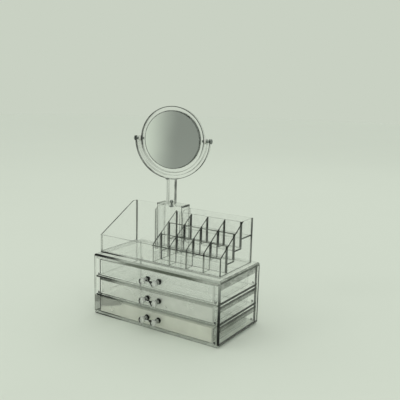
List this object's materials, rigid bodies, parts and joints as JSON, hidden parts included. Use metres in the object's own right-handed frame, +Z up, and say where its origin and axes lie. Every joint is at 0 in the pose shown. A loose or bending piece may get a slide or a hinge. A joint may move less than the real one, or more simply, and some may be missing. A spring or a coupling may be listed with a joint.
{
  "type": "makeup organizer with drawers and mirror",
  "caption": "Clear desktop makeup organizer: a case with stacked drawers, an open top tray with a stepped lipstick rack, and a round swivelling mirror.",
  "frame": {"origin": "middle of the case's underside, on the surface that it stands on", "axes": "+Z up, +Y to the back, +X to the right as seen from the drawers"},
  "size_m": [0.24, 0.1356, 0.3411],
  "materials": {
    "case_clear": "clear polished acrylic sheet, faint green-grey edges",
    "tray_clear": "clear polished acrylic sheet, dark green-grey edges",
    "lower_drawer_clear": "clear moulded plastic with a smoke-olive cast",
    "middle_drawer_clear": "clear moulded plastic with a light smoke cast",
    "upper_drawer_clear": "clear moulded plastic",
    "handle_clear": "clear turned and polished plastic",
    "mirror_clear": "clear moulded plastic, polished",
    "mirror_face": "silvered glass with a ground edge",
    "steel": "dark nickel-plated steel",
    "nylon": "natural nylon"
  },
  "bodies": {
    "case": {"case_top": "case_clear", "case_bottom": "case_clear", "case_left": "case_clear", "case_right": "case_clear", "case_back": "case_clear", "case_front_rail": "case_clear", "lower_shelf": "case_clear", "upper_shelf": "case_clear", "lower_left_guide": "case_clear", "lower_right_guide": "case_clear", "middle_left_guide": "case_clear", "middle_right_guide": "case_clear", "upper_left_guide": "case_clear", "upper_right_guide": "case_clear"},
    "drawer_lower": {"lower_drawer": "lower_drawer_clear", "lower_handle": "handle_clear", "lower_handle_left_screw": "steel", "lower_handle_right_screw": "steel"},
    "drawer_middle": {"middle_drawer": "middle_drawer_clear", "middle_handle": "handle_clear", "middle_handle_left_screw": "steel", "middle_handle_right_screw": "steel"},
    "drawer_upper": {"upper_drawer": "upper_drawer_clear", "upper_handle": "handle_clear", "upper_handle_left_screw": "steel", "upper_handle_right_screw": "steel"},
    "tray": {"tray_floor": "tray_clear", "tray_front": "tray_clear", "tray_back": "tray_clear", "tray_left_end": "tray_clear", "tray_right_end": "tray_clear", "rack_side": "tray_clear", "rack_divider_1": "tray_clear", "rack_divider_2": "tray_clear", "rack_divider_3": "tray_clear", "rack_wall_1": "tray_clear", "rack_wall_2": "tray_clear", "rack_wall_3": "tray_clear", "rack_step_1": "tray_clear", "rack_step_2": "tray_clear", "rack_step_3": "tray_clear", "pocket_left": "tray_clear", "pocket_right": "tray_clear", "pocket_left_lip": "tray_clear", "pocket_right_lip": "tray_clear"},
    "mirror_stand": {"mirror_base": "mirror_clear", "swivel_peg": "steel"},
    "mirror_yoke": {"stem": "mirror_clear", "yoke": "mirror_clear", "left_bush": "nylon", "right_bush": "nylon"},
    "mirror_head": {"mirror_ring": "mirror_clear", "mirror_front": "mirror_face", "mirror_back": "mirror_face", "left_pivot_pin": "steel", "right_pivot_pin": "steel"}
  },
  "joints": [
    {"name": "lower_drawer_slide", "type": "slide", "parent": "case", "child": "drawer_lower", "axis": [0, -1, 0], "range_m": [0, 0.085]},
    {"name": "middle_drawer_slide", "type": "slide", "parent": "case", "child": "drawer_middle", "axis": [0, -1, 0], "range_m": [0, 0.085]},
    {"name": "upper_drawer_slide", "type": "slide", "parent": "case", "child": "drawer_upper", "axis": [0, -1, 0], "range_m": [0, 0.085]},
    {"name": "tray_lift", "type": "slide", "parent": "case", "child": "tray", "axis": [0, 0, 1], "range_m": [0, 0.12]},
    {"name": "mirror_lift", "type": "slide", "parent": "tray", "child": "mirror_stand", "axis": [0, 0, 1], "range_m": [0, 0.09]},
    {"name": "mirror_swivel", "type": "hinge", "parent": "mirror_stand", "child": "mirror_yoke", "pos_m": [-0.027, 0.0236, 0.1828], "axis": [0, 0, 1], "continuous": true},
    {"name": "mirror_tilt", "type": "hinge", "parent": "mirror_yoke", "child": "mirror_head", "pos_m": [-0.027, 0.0236, 0.2876], "axis": [0.9659, 0.2588, 0], "continuous": true}
  ]
}
